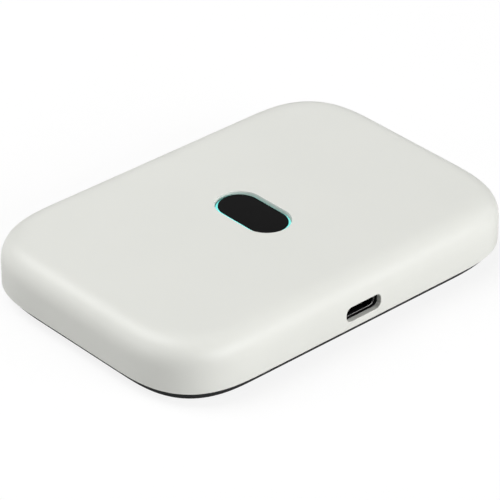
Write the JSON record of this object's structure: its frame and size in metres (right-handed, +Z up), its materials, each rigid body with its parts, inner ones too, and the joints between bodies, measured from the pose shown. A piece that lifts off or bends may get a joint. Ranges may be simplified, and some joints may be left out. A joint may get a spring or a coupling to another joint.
{
  "type": "mobile hotspot",
  "caption": "Pocket-size rounded white wireless router with a dark clip-on back cover, a recessed black status window with a lit ring, a USB-C port, a SIM tray and a side power key.",
  "frame": {"origin": "centre of the back cover's flat face, which the object rests on, taken on the case's own outline", "axes": "+X along the long side, towards the end with the SIM tray and the power button; +Z up out of the face with the status window; the USB-C port is in the -Y side"},
  "size_m": [0.0954, 0.065, 0.0137],
  "materials": {
    "shell_white": "satin moulded white ABS",
    "cover_dark": "fine-textured dark grey plastic",
    "window_black": "smoked black PMMA, semi-gloss",
    "light_cyan": "translucent light guide, lit blue-green",
    "frame_black": "glass-filled moulded black",
    "board_green": "solder-masked circuit board",
    "metal_nickel": "nickel-plated steel",
    "contact_gold": "gold-plated copper alloy",
    "chip_black": "black epoxy",
    "rubber_black": "matt black silicone",
    "battery_wrap": "matt printed wrap, blank",
    "pad_grey": "grey gap filler",
    "card_white": "blank white card",
    "led_white": "clear LED"
  },
  "bodies": {
    "housing": {"top_shell": "shell_white", "status_window": "window_black", "light_guide": "light_cyan", "light_shroud": "frame_black", "port_gasket": "rubber_black", "usb_c_shell": "metal_nickel", "usb_c_tongue": "chip_black", "mid_frame": "frame_black", "main_board": "board_green", "modem_chip": "chip_black", "memory_chip": "chip_black", "wifi_chip": "chip_black", "charger_chip": "chip_black", "shield_can_modem": "metal_nickel", "shield_can_radio": "metal_nickel", "shield_can_power": "metal_nickel", "thermal_pad": "pad_grey", "antenna_carrier_left": "frame_black", "antenna_carrier_right": "frame_black", "antenna_flex_left": "contact_gold", "antenna_flex_right": "contact_gold", "battery_pack": "battery_wrap", "battery_connector": "chip_black", "sim_reader": "metal_nickel", "power_switch": "metal_nickel", "reset_switch": "metal_nickel", "battery_contact_1": "contact_gold", "battery_contact_2": "contact_gold", "battery_contact_3": "contact_gold", "status_led_1": "led_white", "status_led_2": "led_white", "status_led_3": "led_white", "status_led_4": "led_white", "case_screw_1": "metal_nickel", "case_screw_2": "metal_nickel", "case_screw_3": "metal_nickel", "case_screw_4": "metal_nickel", "case_screw_5": "metal_nickel", "case_screw_6": "metal_nickel"},
    "cover": {"back_cover": "cover_dark"},
    "tray": {"sim_tray": "shell_white", "sim_card": "card_white"},
    "power_key": {"power_button": "shell_white"},
    "power_stem": {"power_switch_stem": "chip_black"},
    "reset_key": {"reset_button": "chip_black"}
  },
  "joints": [
    {"name": "cover_unclip", "type": "slide", "parent": "housing", "child": "cover", "axis": [0, 0, -1], "range_m": [0, 0.012]},
    {"name": "tray_slide", "type": "slide", "parent": "housing", "child": "tray", "axis": [1, 0, 0], "range_m": [0, 0.018]},
    {"name": "power_press", "type": "slide", "parent": "housing", "child": "power_key", "axis": [-1, 0, 0], "range_m": [0, 0.00025]},
    {"name": "power_stem_press", "type": "slide", "parent": "housing", "child": "power_stem", "axis": [-1, 0, 0], "range_m": [0, 0.00025]},
    {"name": "reset_press", "type": "slide", "parent": "housing", "child": "reset_key", "axis": [0, 0, 1], "range_m": [0, 0.00025]}
  ],
  "couplings": [
    {"joint": "power_stem_press", "follows": "power_press", "ratio": 1}
  ]
}
